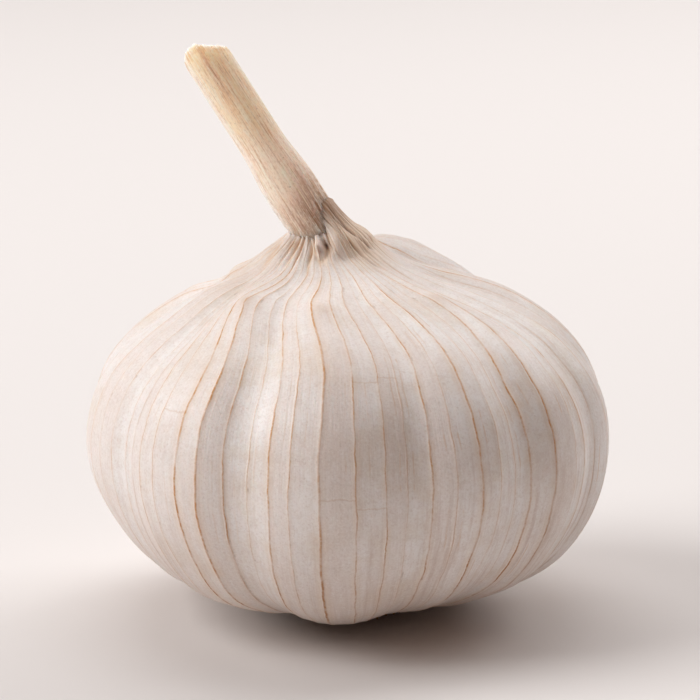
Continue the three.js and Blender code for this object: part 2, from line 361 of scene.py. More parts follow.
strength = from_veins(vein_strength, ease(across, *VEIN_EDGE))
dark = from_veins(vein_dark, ease(across, *VEIN_EDGE))
panel = PANEL_HEIGHT * from_veins(waves(SLOW_WAVES, seed=19).T)
panel = panel + from_veins(vein_lift) * ease(radius, *VEIN_LIFT_RADII)
panel = panel - PANEL_SAG * np.sin(math.pi * across) * ease(radius, *PANEL_RADII)
rib = VEIN_HEIGHT * strength * bell(gap, 0, VEIN_HALF_WIDTH)
ripple = ROOT_RIPPLE * (1 - ease(radius, *ROOT_RADII)) * (1 - upper)
ripple = ripple * np.sin(vein * RIPPLE_PACES[0]) * np.sin(vein * RIPPLE_PACES[1])
print("veins stand out by up to", round(rib.max(), 3), "mm")

# %% [markdown]
# ## The neck
# At the neck the skin runs up the stalk. On the right and at the back it ends as a thin collar.
# On the front and left the stalk creases over it, so it dips under the stalk further down, in
# puckered folds. Between the two lies a small pit, with a knob of skin beside it.

# %% Rounded folds of the neck
# From and to which azimuth the skin climbs the stalk as a collar.
COLLAR_AZIMUTHS = (10, 68, 200, 235)
GATHERED_RADII = (4.3, 12)
FOLDS_FROM_PLACE = 8.5
# Folds to each vein, their length in places, the seed, and how rounded they are.
FINE_FOLDS = (1.4, 1.9, 40, 0.55)
BROAD_FOLDS = (0.5, 2.6, 3, 0.6)
# Height of the folds in mm and share of the broad ones, at the front and under the collar.
FOLD_HEIGHTS = (0.22, 0.24)
BROAD_SHARES = (0.8, 0.3)
FOLD_ONSET = 1.4
NOISE_GAIN = 2.4


def folds(per_vein, length, seed, roundness):
    """Rounded folds with sharp creases between them, which run along the veins and merge."""
    circle = VEINS * per_vein / (2 * math.pi)
    angle = vein / VEINS * 2 * math.pi
    neck = row_place > FOLDS_FROM_PLACE
    x, y, z = np.broadcast_arrays(circle * np.sin(angle), circle * np.cos(angle), place[neck] / length + seed)
    wave = [noise.noise(Vector(point)) for point in zip(x.flat, y.flat, z.flat)]
    height_share = np.ones_like(azimuth)
    height_share[neck] = np.minimum(np.abs(np.reshape(wave, x.shape)) * NOISE_GAIN, 1) ** roundness
    return height_share


turned = unrolled(azimuth, -90)
collar = band(turned, *COLLAR_AZIMUTHS)
gathered = upper * (1 - ease(radius, *GATHERED_RADII))
fold = lerp(folds(*FINE_FOLDS), folds(*BROAD_FOLDS), lerp(*BROAD_SHARES, collar))
fold_height = lerp(*FOLD_HEIGHTS, collar) * gathered ** FOLD_ONSET
print("collar on", round(100 * collar[-1].mean()), "% of the neck's rim")

# %% Sharp creases, pit and knob
# Azimuths of a crease at places 13 and 15, the places where it starts and ends, and its depth.
CREASES = (
    (73, 52, 12.9, 15.4, 1.0), (88, 48, 12.6, 13.8, 0.6), (63, 60, 14.2, 16.2, 0.6),
    (52.5, 43, 12.4, 14.1, 0.8), (47, 38, 13.5, 15.6, 0.5), (40, 31, 13.0, 14.4, 0.35),
    (29, 13, 12.9, 14.2, 0.55), (28.5, 27, 12.5, 13.2, 0.5), (17, 20, 12.2, 12.9, 0.6),
)
CREASE_DEPTH = 0.16
CREASE_HALF_WIDTH = 0.13
FOLD_MIDDLE = 0.8
RIB_LOST_IN_FOLDS = 0.7
# Three more spots, listed as the fuller ones are.
KNOB = (3, 13.78, 5, 0.2, 0.28)
PIT = (14.5, 13.82, 5.5, 0.2, -0.2)
FLARE = (105, 13.2, 45, 1.0, 1.6)
COLLAR_SWELL = 0.3
SWELL_AZIMUTHS = (40, 95)
SWELL_PLACE = 16.1
SWELL_HALF_LENGTH = 0.55

sharp = 0
for at_13, at_15, low, high, size in CREASES:
    aside = np.radians(azimuth - lerp(at_13, at_15, (place - 13) / 2)) * radius
    reach = band(place, low - 0.4, low + 0.2, high - 0.5, high)
    sharp = sharp + size * reach * bell(aside, 0, CREASE_HALF_WIDTH)
lift = fold_height * (fold - FOLD_MIDDLE) - CREASE_DEPTH * sharp + spot(*KNOB) + spot(*PIT)
swell = COLLAR_SWELL * collar * ease(azimuth, *SWELL_AZIMUTHS)
swell = swell * bell(place, SWELL_PLACE, SWELL_HALF_LENGTH) + spot(*FLARE)
relief = lobes + TIP_HEIGHT * tips + fuller + ripple
relief = relief + panel * (1 - gathered) + rib * (1 - RIB_LOST_IN_FOLDS * gathered) + lift + swell
print("the skin stands off the outline by", np.round([relief.min(), relief.max()], 1), "mm")

# %% Raise the skin and fold the neck
AHEAD = 0.02

ahead = outline_at(np.minimum(place + AHEAD, LIP))
behind = outline_at(np.maximum(place - AHEAD, 0))
rise, run = ahead[1] - behind[1], ahead[0] - behind[0]
length = np.hypot(rise, run)
stand_off = radius + relief * rise / length
level = height - relief * run / length
x, y = heading(azimuth)
x_shift = NECK_OFFSET * ease(level, *OFFSET_HEIGHTS)
raised = np.stack([stand_off * x + x_shift, stand_off * y, level], axis=-1)
folded = fold_over(raised, fold_share)

# %% [markdown]
# The top of the skin is then drawn towards the axis of the leaning stalk. Beside the pit it hugs
# the stalk, and at its edge it vanishes inside it, low under the front and high under the collar.

# %% Tuck the skin round the stalk
STALK_SHIFT = 0.33
AXIS_HEIGHTS = (42.6, 62.6)
HUG_RADIUS = 3.08
HUG_SHARE = 0.75
HUG_AZIMUTHS = (6, 34, 60, 95)
HUG_PLACES = (13.6, 15.6)
FRONT_TUCK = np.array([12.8, 15.2])
COLLAR_TUCK = np.array([15.9, 16.95])
TUCKED_RADIUS = 2.65
RAGGED = 2.4
LIFT_AT_EDGE = 1.6
RIM_SIZES = np.linspace(0.92, 0, INNER_ROWS)
RIM_DEPTHS = (0.05, 0.1, 0.2, 0.4, 0.5, 0.5)

axis = [(NECK_OFFSET + STALK_SHIFT, 0, height_at) for height_at in AXIS_HEIGHTS]
stalk_foot, stalk_top = fold_over(np.array(axis), np.ones(2))
stalk_way = (stalk_top - stalk_foot) / np.linalg.norm(stalk_top - stalk_foot)

arm = folded - stalk_foot
up_stalk = (arm @ stalk_way)[..., None] * stalk_way
out = arm - up_stalk
reach = np.linalg.norm(out, axis=-1)
hug = HUG_SHARE * band(turned, *HUG_AZIMUTHS) * ease(place, *HUG_PLACES)
ragged = place - RAGGED * lift * (1 - collar)
tuck_from, tuck_to = (lerp(front, back, collar) for front, back in zip(FRONT_TUCK, COLLAR_TUCK))
drawn = lerp(reach, np.minimum(reach, HUG_RADIUS + lift), hug)
drawn = lerp(drawn, np.minimum(drawn, TUCKED_RADIUS + LIFT_AT_EDGE * lift),
             ease(ragged, tuck_from, tuck_to))
outer = stalk_foot + up_stalk + out * (drawn / reach)[..., None]

rim = outer[-1].mean(axis=0)
inner = [rim + (outer[-1] - rim) * size - stalk_way * depth for size, depth in zip(RIM_SIZES, RIM_DEPTHS)]
print("the stalk's axis starts at", np.round(stalk_foot, 2), "and runs", np.round(stalk_way, 3))

# %% [markdown]
# ## Modelling the skin
# A UV sphere is a good start for a bulb: it has meridians from pole to pole like the veins, its
# poles are closed, and its UV map says where each point lies. All its points are then moved to
# the grid, as with a sculpting brush, but by the rules above. What the finish needs to know is
# kept on the points as numbers.

# %% Start the skin from a sphere
BALL_RADIUS = 0.03

bpy.ops.object.select_all(action="DESELECT")
bpy.ops.mesh.primitive_uv_sphere_add(segments=SKIN_COLUMNS, ring_count=SKIN_ROWS, radius=BALL_RADIUS)
skin = bpy.context.object
skin.name = skin.data.name = "papery_skin"


def points_of(piece):
    places = np.empty(len(piece.data.vertices) * 3, np.float32)
    piece.data.vertices.foreach_get("co", places)
    return places.reshape(-1, 3).astype(float)


def move_points(piece, points):
    piece.data.vertices.foreach_set("co", np.asarray(points, np.float32).ravel())
    piece.data.update()


def keep_on_points(piece, name, values):
    """Stores one number for each point, for a material to read."""
    attribute = piece.data.attributes.new(name, "FLOAT", "POINT")
    attribute.data.foreach_set("value", np.asarray(values, np.float32).ravel())


def turn_of(points):
    """How far round each point lies, from 0 to 1, as a sphere's own columns are counted."""
    return 0.5 + np.arctan2(points[:, 1], points[:, 0]) / (2 * math.pi)


ball = points_of(skin)
row = 0.5 + np.arcsin(np.clip(ball[:, 2] / BALL_RADIUS, -1, 1)) / math.pi
row = np.rint(row * SKIN_ROWS).astype(int)
column = np.rint(turn_of(ball) * SKIN_COLUMNS).astype(int) % SKIN_COLUMNS

# %% Lay its points on the grid
DENT = 0.13
DENT_SIZE = 7
DENT_MIDDLE = (0, 0, 21)
UNDENTED_HEIGHTS = (36, 41)

placed = np.concatenate([outer, inner])[row, column]
outwards = placed - DENT_MIDDLE
outwards /= np.linalg.norm(outwards, axis=1, keepdims=True)
dents = DENT * np.array([noise.noise(Vector(point / DENT_SIZE)) for point in placed])
dents = dents * (1 - ease(placed[:, 2], *UNDENTED_HEIGHTS))
move_points(skin, (placed + outwards * dents[:, None]) * MM)
print("skin box in mm", np.round(placed.min(0), 1), np.round(placed.max(0), 1))

# %% Keep what the finish needs
# Spots of painted brown shade and spots where the skin is more yellow, listed as the other spots, with an
# amount.
BROWN_SHADE_SPOTS = ((22, 13.5, 12, 0.6, 0.3), (8, 9.6, 20, 1.3, 0.16))
# Painted brown shade under the collar: its amount, azimuths and places.
COLLAR_SHADE = 0.6
COLLAR_SHADE_AZIMUTHS = (12, 55, 170, 215)
COLLAR_SHADE_PLACES = (14.1, 15.6)
STRAW_SPOTS = ((-38, 13.8, 12, 0.3, 0.55), (-75, 12.5, 30, 1.4, 0.12))
STREAKY_AZIMUTHS = (-20, 35)
STREAKY_SHARES = (0.45, 1.1)
# How dark the painted shade in the folds is and how quickly it darkens, at the front and under the collar.
FOLD_SHADES = (0.2, 0.8)
FOLD_POWERS = (2.5, 1.5)
PIT_SHADE = 0.8
# The gathered skin is tan: so much on the ridges of its folds, and so much more deep in them.
TAN_ON_RIDGES = 0.1
TAN_IN_FOLDS = 1.1

# Painted shade in the folds, the creases and the pit of the neck.
shade = lerp(*FOLD_SHADES, collar) * gathered * (1 - fold) ** lerp(*FOLD_POWERS, collar)
shade = shade + spot(*PIT[:4], PIT_SHADE) + PIT_SHADE * sharp
painted_brown_shade = COLLAR_SHADE * band(azimuth, *COLLAR_SHADE_AZIMUTHS) * ease(place, *COLLAR_SHADE_PLACES)
painted_brown_shade = painted_brown_shade + sum(spot(*where) for where in BROWN_SHADE_SPOTS)
# Over the tips of the cloves the skin is browner.
ON_SKIN = {
    "pitch": pitch, "vein_strength": strength, "vein_dark": dark, "gathered": gathered, "tip_tint": tips,
    "fold_shade": np.clip(shade, 0, 1), "painted_brown_shade": np.clip(painted_brown_shade, 0, 1),
    "straw": sum(spot(*where) for where in STRAW_SPOTS),
    "tanned": gathered * lerp(TAN_ON_RIDGES + TAN_IN_FOLDS * (1 - fold), 1, collar),
    "streaky": lerp(*STREAKY_SHARES, ease(azimuth, *STREAKY_AZIMUTHS)),
}
for name, values in ON_SKIN.items():
    # The hidden inner rows repeat the last outer one.
    outer_values = np.broadcast_to(values, azimuth.shape)
    keep_on_points(skin, name, outer_values[np.minimum(row, len(outer_values) - 1), column])

# %% Lay the UV map along the veins
corner_uv = np.empty(len(skin.data.loops) * 2, np.float32)
skin.data.uv_layers[0].uv.foreach_get("vector", corner_uv)
corner_turn, corner_row = corner_uv.reshape(-1, 2).T
row_travel = np.interp(row_place, fine_place, travelled) / SKIN_LENGTH
row_travel = np.concatenate([row_travel, np.ones(INNER_ROWS)])
corner_row = np.rint(corner_row * SKIN_ROWS).astype(int)
corner_uv = np.stack([crowded(corner_turn) / VEINS, row_travel[corner_row]], axis=1)
skin.data.uv_layers[0].uv.foreach_set("vector", corner_uv.astype(np.float32).ravel())
skin.data.uv_layers[0].name = "along_veins"
bpy.ops.object.shade_smooth()
print("skin:", len(skin.data.polygons), "faces")

# %% [markdown]
# ## The stalk
# The stalk is the dry bundle of leaf stems that went on above the bulb. It is not quite round,
# it has lengthwise ribs, and an outer sheath is torn away low on its left side. A cylinder is
# cut into rows, its top face is inset again and again to give the layers of the cut, and then
# the points are moved as the skin's were.

# %% Start the stalk from a cylinder
STALK_COLUMNS = 216
STALK_ROWS = 96
CUT_INSETS = 14
START_RADIUS = 0.003
START_DEPTH = 0.02


def select_faces(piece, wanted):
    """In edit mode, selects the faces for which wanted(face) is true, and nothing else."""
    bpy.ops.mesh.select_mode(type="FACE")
    bpy.ops.mesh.select_all(action="DESELECT")
    cage = bmesh.from_edit_mesh(piece.data)
    for face in cage.faces:
        face.select_set(bool(wanted(face)))
    bmesh.update_edit_mesh(piece.data)


def start_cylinder(name, sides, radius, depth, rows, caps=()):
    """A cylinder round the origin, left in edit mode. Its wall is cut into rows, and each of the
    caps, listed as (1 for the top or -1, count, width), is inset that often."""
    bpy.ops.object.select_all(action="DESELECT")
    bpy.ops.mesh.primitive_cylinder_add(vertices=sides, radius=radius, depth=depth)
    piece = bpy.context.object
    piece.name = piece.data.name = name
    bpy.ops.object.mode_set(mode="EDIT")
    bpy.ops.mesh.select_mode(type="EDGE")
    bpy.ops.mesh.select_all(action="DESELECT")
    cage = bmesh.from_edit_mesh(piece.data)
    for edge in cage.edges:
        edge.select_set(abs(edge.verts[0].co.z - edge.verts[1].co.z) > depth / 2)
    bmesh.update_edit_mesh(piece.data)
    bpy.ops.mesh.subdivide(number_cuts=rows - 1)
    for side, count, width in caps:
        select_faces(piece, lambda face: face.normal.z * side > 0.9)
        for _ in range(count):
            bpy.ops.mesh.inset(thickness=width)
        bpy.ops.mesh.poke()
    return piece


stalk = start_cylinder("dry_stalk", STALK_COLUMNS, START_RADIUS, START_DEPTH, STALK_ROWS, (
    (1, CUT_INSETS, START_RADIUS / (CUT_INSETS + 1)), (-1, 1, START_RADIUS / 2)))
bpy.ops.object.mode_set(mode="OBJECT")
print("stalk:", len(stalk.data.vertices), "points before shaping")

# %% Shaft of the stalk
STALK_LENGTH = 22.0
STALK_HIDDEN = 4.0
STALK_RADIUS = 2.6
FOOT_RADIUS = 3.05
TAPER = (2.5, 9)
# Inside the collar the foot is narrower, so that it stays hidden.
COLLAR_ROOM = 0.28
COLLAR_ROOM_AZIMUTHS = (5, 30, 75, 110)
COLLAR_ROOM_ALONG = (-2.4, 0.2)
# Above its torn edge the outer sheath is gone. The edge is high on the left and hidden elsewhere.
SHEATH_THICKNESS = 0.3
SHEATH_EDGES = (-4, 3.7)
SHEATH_AZIMUTHS = (-165, -130, -84, -62)
EDGE_WIDTH = (-0.15, 0.08)
TEAR_DEPTH = 0.2
TEARS = 17
# The shaft is not round but a little oval and a little three-cornered.
OVAL = 0.07
OVAL_TURN = 50
THREE_CORNERED = 0.05

rod = points_of(stalk)
rod_turn = turn_of(rod) % 1
rod_azimuth = unrolled(rod_turn * 360 - 90, -180)
inward = np.clip(np.hypot(rod[:, 0], rod[:, 1]) / START_RADIUS, 0, 1)
up = np.clip(rod[:, 2] / START_DEPTH + 0.5, 0, 1)
along = up * (STALK_LENGTH + STALK_HIDDEN) - STALK_HIDDEN

shaft = lerp(FOOT_RADIUS, STALK_RADIUS, ease(along, *TAPER))
room = band(unrolled(rod_azimuth, -90), *COLLAR_ROOM_AZIMUTHS) * (1 - ease(along, *COLLAR_ROOM_ALONG))
oval = OVAL * np.cos(np.radians(2 * rod_azimuth + OVAL_TURN))
oval = oval + THREE_CORNERED * np.cos(np.radians(3 * rod_azimuth))
edge = lerp(*SHEATH_EDGES, band(rod_azimuth, *SHEATH_AZIMUTHS))
edge = edge + TEAR_DEPTH * np.sin(np.radians(rod_azimuth) * TEARS)
bare = 1 - ease(along, edge + EDGE_WIDTH[0], edge + EDGE_WIDTH[1])
print("shaft from", round(shaft.max(), 2), "to", round(shaft.min(), 2), "mm in radius")

# %% Ribs of the stalk
RIDGES = 34
RIDGE_DEPTH = 0.13
RIDGE_SIZES = (0.2, 1.4)
RIDGE_SHIFT = 0.4
RIDGE_ROUNDNESS = 0.6
RIDGE_MIDDLE = 0.6
DEEPER_AT_FOOT = 0.9
DEEPER_ALONG = (1, 9)

ridge_turn = np.sort((np.arange(RIDGES) + rng.uniform(-RIDGE_SHIFT, RIDGE_SHIFT, RIDGES)) / RIDGES)
ridge_size = rng.uniform(*RIDGE_SIZES, RIDGES)
grooves_at = np.concatenate([ridge_turn, [ridge_turn[0] + 1]])
# The ribs wander a little along the stalk, slowly and more quickly.
wander = 0.003 * np.sin(along * 0.45 + 1) + 0.002 * np.sin(along * 1.1 + rod_turn * 9)
position = (rod_turn + wander) % 1
position = position + (position < ridge_turn[0])
ridge = np.clip(np.searchsorted(grooves_at, position, side="right") - 1, 0, RIDGES - 1)
part = (position - grooves_at[ridge]) / (grooves_at[ridge + 1] - grooves_at[ridge])
ribs = ridge_size[ridge] * (np.abs(np.sin(math.pi * part)) ** RIDGE_ROUNDNESS - RIDGE_MIDDLE)
ribs = RIDGE_DEPTH * (1 + DEEPER_AT_FOOT * (1 - ease(along, *DEEPER_ALONG))) * ribs
rod_radius = shaft - COLLAR_ROOM * room + oval - SHEATH_THICKNESS * bare + ribs

# %% Cut end of the stalk
CUT_SLOPE = 0.68
CUT_FROM = 0.84
# The left corner of the cut is rounded off, from this far out.
CUT_CORNER = 1.0
CORNER_START = 0.8
CORNER_WIDTH = 1.4
CORNER_POWER = 1.6
RIM_NARROWING = 0.04
RIM_FROM = 0.975
# The edge is jagged: size and number round the stalk of two waves, and one notch at the front.
JAGS = ((0.045, 7, 0), (0.05, 19, 2))
NOTCH_DEPTH = 0.05
NOTCH = (8, 7)
# Inside the edge the layers of the stem end one below the other, round a hollow.
LAYER_DEPTH = 0.13
LAYERS = 9
HOLLOW_OF_CUT = 0.5
HOLLOW_POWER = 0.7
MIDDLE_DROP = 0.1

rod_x, rod_y = heading(rod_azimuth)
rod_radius = rod_radius * (1 - RIM_NARROWING * ease(up, RIM_FROM, 1))
flat_x = rod_radius * rod_x + STALK_SHIFT
corner = CUT_CORNER * (np.maximum(-flat_x - CORNER_START, 0) / CORNER_WIDTH) ** CORNER_POWER
jag = sum(size * np.sin(rod_turn * 2 * math.pi * count + start) for size, count, start in JAGS)
torn = CUT_SLOPE * np.maximum(flat_x, 0) + corner + jag + NOTCH_DEPTH * bell(rod_azimuth, *NOTCH)
middle_cut = CUT_SLOPE * np.maximum(flat_x * inward, 0) + MIDDLE_DROP
layers = LAYER_DEPTH * np.cos(inward * math.pi * LAYERS) + HOLLOW_OF_CUT * (1 - inward) ** HOLLOW_POWER
on_cut = ease(up, 0.999, 1) * (inward < 0.99)
drop = np.where(on_cut > 0, lerp(middle_cut, torn, inward ** 2), torn) * ease(up, CUT_FROM, 1)
level = OUTLINE[LIP, 1] + along - drop - on_cut * layers
flat_radius = rod_radius * inward
placed = np.stack([flat_radius * rod_x + NECK_OFFSET + STALK_SHIFT, flat_radius * rod_y, level], axis=-1)
placed = fold_over(placed, np.ones(len(placed)))
move_points(stalk, placed * MM)
print("stalk box in mm", np.round(placed.min(0), 1), np.round(placed.max(0), 1))

# %% Keep what the stalk's finish needs
PALE_AZIMUTHS = (-125, -80, -62, -38)
# The grey foot ends at this height on the left and on the right, and starts at the first one.
FOOT_FROM = -1.5
FOOT_ENDS = (3.2, 8)
STAIN = (-4, 5)
STAIN_ALONG = (11.5, 18)
FOOT_TURNS_AT = (0, 50)

foot_end = lerp(*FOOT_ENDS, ease(rod_azimuth, *FOOT_TURNS_AT))
# The grooves between the ribs are kept for painted shade.
ON_STALK = {
    "along": along / STALK_LENGTH,
    "groove": np.clip(0.4 - ribs / RIDGE_DEPTH / 2, 0, 1),
    "pale_side": band(rod_azimuth, *PALE_AZIMUTHS),
    "foot": 1 - ease(along, FOOT_FROM, foot_end),
    "stain": bell(rod_azimuth, *STAIN) * ease(along, *STAIN_ALONG),
    "cut_face": on_cut,
}
for name, values in ON_STALK.items():
    keep_on_points(stalk, name, values)


# %% Lay the stalk's UV map
def lay_uv(piece, turn, along, name):
    """u runs round the piece and v along it. Each face is kept on one side of the seam."""
    mesh = piece.data
    corner = np.empty(len(mesh.loops), int)
    mesh.loops.foreach_get("vertex_index", corner)
    starts = np.empty(len(mesh.polygons), int)
    totals = np.empty(len(mesh.polygons), int)
    mesh.polygons.foreach_get("loop_start", starts)
    mesh.polygons.foreach_get("loop_total", totals)
    first = np.repeat(turn[corner[starts]], totals)
    u = turn[corner]
    u = u + (first - u > 0.5) - (u - first > 0.5)
    while mesh.uv_layers:
        mesh.uv_layers.remove(mesh.uv_layers[0])
    layer = mesh.uv_layers.new(name=name)
    layer.uv.foreach_set("vector", np.stack([u, along[corner]], axis=1).astype(np.float32).ravel())


lay_uv(stalk, rod_turn, up, "along_fibres")
bpy.ops.object.shade_smooth()

# %% [markdown]
# ## The root plate
# The root plate is a disc of cork, trimmed flat underneath. The roots grew out of its rim, and
# what is left of them is a brush of stiff stubs. One stub is modelled and copied: thick ones
# stand where the CAD has them, and finer ones fill the gaps.

# %% Model the disc
PLATE_RADIUS = 5.9
PLATE_FLAT_RADIUS = 4.7
PLATE_TOP_INSET = 0.8
PLATE_THICKNESS = 2.1
DISC_SIDES = 96
DISC_ROWS = 12
DISC_RINGS = 16

ring_width = PLATE_RADIUS * MM / (DISC_RINGS + 1)
plate = start_cylinder("root_cork", DISC_SIDES, PLATE_RADIUS * MM, PLATE_THICKNESS * MM, DISC_ROWS, (
    (1, DISC_RINGS, ring_width), (-1, DISC_RINGS, ring_width)))
bpy.ops.object.mode_set(mode="OBJECT")

# %% Roughen the disc
# Crumbs and grit are noises, with so many swells per mm and this height on the disc's side.
CRUMBS_PER_MM = (1.1, 1.1, 1.6)
GRIT_PER_MM = 3.7
CRUMB_HEIGHT = 0.22
GRIT_HEIGHT = 0.1
RING_DEPTH = 0.07
RINGS_PER_MM = 4.2
HOLLOW_DEPTH = 0.35
HOLLOW_RADII = (0.6, 3.4)
PIT_DEPTH_BELOW = 0.35

disc = points_of(plate) / MM + (0, 0, PLATE_THICKNESS / 2)
crumbs = np.array([noise.noise(Vector(point * CRUMBS_PER_MM)) for point in disc])
grit = np.array([noise.noise(Vector(point * GRIT_PER_MM)) for point in disc])
disc_radius = np.hypot(disc[:, 0], disc[:, 1])
level = disc[:, 2] / PLATE_THICKNESS
below = level < 0.01
side_radius = lerp(PLATE_FLAT_RADIUS, PLATE_RADIUS, ease(level, 0, 0.35))
scale = (side_radius - PLATE_TOP_INSET * ease(level, 0.5, 1)) / PLATE_RADIUS
bump = (CRUMB_HEIGHT * crumbs + GRIT_HEIGHT * grit) * ease(level, 0.02, 0.3)
rings = np.abs(RING_DEPTH * np.cos(disc_radius * RINGS_PER_MM)) * ease(disc_radius, 0.3, 1.5)
hollow = HOLLOW_DEPTH * (1 - ease(disc_radius, *HOLLOW_RADII))
pits = PIT_DEPTH_BELOW * np.clip(grit + 0.1, 0, 1)
pits = pits * ease(PLATE_FLAT_RADIUS - disc_radius * scale, 0.4, 1.2)
disc[:, :2] *= (scale * (1 + bump / PLATE_RADIUS))[:, None]
disc[:, 2] = np.clip(disc[:, 2] + (rings + hollow + pits) * below, 0, PLATE_THICKNESS)
move_points(plate, disc * MM)
bpy.ops.object.shade_smooth()

# %% Model one root stub
STUB_LENGTH = 2.0
STUB_RADIUS = 0.42
STUB_SIDES = 7
STUB_ROWS = 4
CUT_INSET = 0.35
CUT_HOLLOW = 0.06

stub = start_cylinder("root_stub", STUB_SIDES, 1, 1, STUB_ROWS)
select_faces(stub, lambda face: face.normal.z > 0.9)
bpy.ops.mesh.inset(thickness=CUT_INSET)
bpy.ops.transform.translate(value=(0, 0, -CUT_HOLLOW))
bpy.ops.object.mode_set(mode="OBJECT")
stub_shape = points_of(stub) + (0, 0, 0.5)
stub_up = stub_shape[:, 2]

# %% Copy it round the rim
GOLDEN_ANGLE = 137.5
RIM_SHARES = (0.72, 0.9)
STUB_HEIGHTS = (0.8, 1.4)
STUB_LEANS = (20, 80)
STUB_TAPER = 0.25
STUB_CURVE = 0.35
STUB_LENGTHS = (0.7, 1.0)
STUB_DENTS = (0.85, 1.15)
TRIM_HEIGHT = 0.03
# Number, thinnest and thickest share of the radius, and turn of the first one.
STUB_KINDS = ((34, 0.7, 1.1, 0), (120, 0.3, 0.6, 31))


def place_stub(number, total, size, first_turn):
    """A copy of the stub, leaning out and down from the plate's rim, trimmed above the floor."""
    piece = stub.copy()
    piece.data = stub.data.copy()
    bpy.context.collection.objects.link(piece)
    x, y = heading(number * GOLDEN_ANGLE + first_turn)
    spread = math.sqrt((number + 0.5) / total)
    lean = math.radians(lerp(*STUB_LEANS, spread))
    way = Vector((x * math.sin(lean), y * math.sin(lean), -math.cos(lean)))
    foot = PLATE_RADIUS * lerp(*RIM_SHARES, spread)
    start = np.array([x * foot, y * foot, rng.uniform(*STUB_HEIGHTS)])
    shape = stub_shape * (size, size, STUB_LENGTH * rng.uniform(*STUB_LENGTHS))
    shape[:, :2] *= (1 - STUB_TAPER * stub_up[:, None]) * rng.uniform(*STUB_DENTS, (len(shape), 1))
    shape[:, 0] += STUB_CURVE * rng.uniform(-1, 1) * stub_up ** 2
    turned = np.array([way.to_track_quat("Z", "Y") @ Vector(point) for point in shape]) + start
    turned[:, 2] = np.clip(turned[:, 2], TRIM_HEIGHT + 0.02 * stub_up, PLATE_THICKNESS)
    move_points(piece, turned * MM)
    keep_on_points(piece, "root", 0.4 + 0.6 * stub_up)
    return piece


stubs = [place_stub(number, total, STUB_RADIUS * rng.uniform(thinnest, thickest), first_turn)
         for total, thinnest, thickest, first_turn in STUB_KINDS for number in range(total)]
keep_on_points(plate, "root", np.zeros(len(plate.data.vertices)))
bpy.data.objects.remove(stub)
bpy.ops.object.select_all(action="DESELECT")
for piece in (*stubs, plate):
    piece.select_set(True)
bpy.context.view_layer.objects.active = plate
bpy.ops.object.join()
print("root plate:", len(plate.data.polygons), "faces with", len(stubs), "stubs")

# %% [markdown]
# ## Finishes
# Each finish is a small tree of nodes. One function adds a node with its settings and its
# inputs, where an input is either a value or another node's output. What a tree reads or works
# out is kept by name, so that the steps of a finish can be written as short tables. Colours are
# hex values as seen on a screen, and one function turns them to linear light.

# %% Helpers for finishes
def linear(hex_colour):
    """An sRGB hex colour as linear red, green, blue and alpha."""
    channels = [int(hex_colour[start:start + 2], 16) / 255 for start in (1, 3, 5)]
    return (*((c / 12.92 if c <= 0.04045 else ((c + 0.055) / 1.055) ** 2.4) for c in channels), 1)


def add_node(tree, kind, inputs=None, output=0, **settings):
    """Adds a node and returns one of its outputs. An input is another node's output or a value."""
    made = tree.nodes.new("ShaderNode" + kind)
    for name, value in settings.items():
        setattr(made, name, value)
    for socket, value in (inputs or {}).items():
        if isinstance(value, bpy.types.NodeSocket):
            tree.links.new(value, made.inputs[socket])
        else:
            made.inputs[socket].default_value = value
    return made.outputs[output] if len(made.outputs) else None


def new_finish(name):
    """An empty material with its node tree."""
    material = bpy.data.materials.new(name)
    material.use_nodes = True
    material.node_tree.nodes.clear()
    return material, material.node_tree


# %% [markdown]
# ### Papery skin
# The skin is a dry leaf, a few hundredths of a millimetre thick: satin rather than matt, warm
# white with a pinkish cast, and a little light passes through it. Along the veins lies a thin
# tan line with a faint warm halo. Fine fibres run the same way, most of all on the right, and
# each panel between two veins has a tone of its own. Where the skin is gathered at the neck it
# is tan on its ridges, and painted shade darkens its folds, creases and pit.
#
# The pattern is drawn with numbers that the mesh carries: the UV map counts the veins round the
# bulb, and `pitch` is the width of the panel in mm, so a distance from a vein can be given in mm
# too. First come the places that the patterns are read at.

# %% Places on the skin
HEAD_RADIUS = 28
# Size round the bulb and size along it, in mm, of the patterns that follow the veins.
# Real fibres are finer. They are drawn this coarse to show at all.
ALONG_VEINS = {"fibres": (0.35, 5), "streaks": (0.9, 20)}
# Shift from vein to vein and size along a vein in mm, of the noises that each vein has for itself.
ON_A_VEIN = {"shiver": (7.3, 2.4), "power": (9.1, 8), "beads": (5.7, 0.7), "marks": (3.3, 3.0)}
# Size in mm of the patterns that are the same in all directions.
ALL_WAYS = {"mottle": 7, "warmth": 9, "clouds": 3.2, "paper": 1.0, "grit": 0.26}

skin_finish, tree = new_finish("dry_leaf_skin_drawn_tight")
uv = add_node(tree, "UVMap", uv_map="along_veins")
place_on = add_node(tree, "TexCoord", output="Object")
at = {name: add_node(tree, "Attribute", output="Fac", attribute_name=name) for name in ON_SKIN}
at["round"] = add_node(tree, "SeparateXYZ", {0: uv}, "X")
at["up"] = add_node(tree, "SeparateXYZ", {0: uv}, "Y")
at["count"] = add_node(tree, "Math", {0: at["round"], 1: VEINS}, operation="MULTIPLY")
at["vein_number"] = add_node(tree, "Math", {0: at["count"]}, operation="ROUND")
at["panel_number"] = add_node(tree, "Math", {0: at["count"]}, operation="FLOOR")
on_course = add_node(tree, "CombineXYZ", {"X": at["vein_number"], "Y": at["up"]})

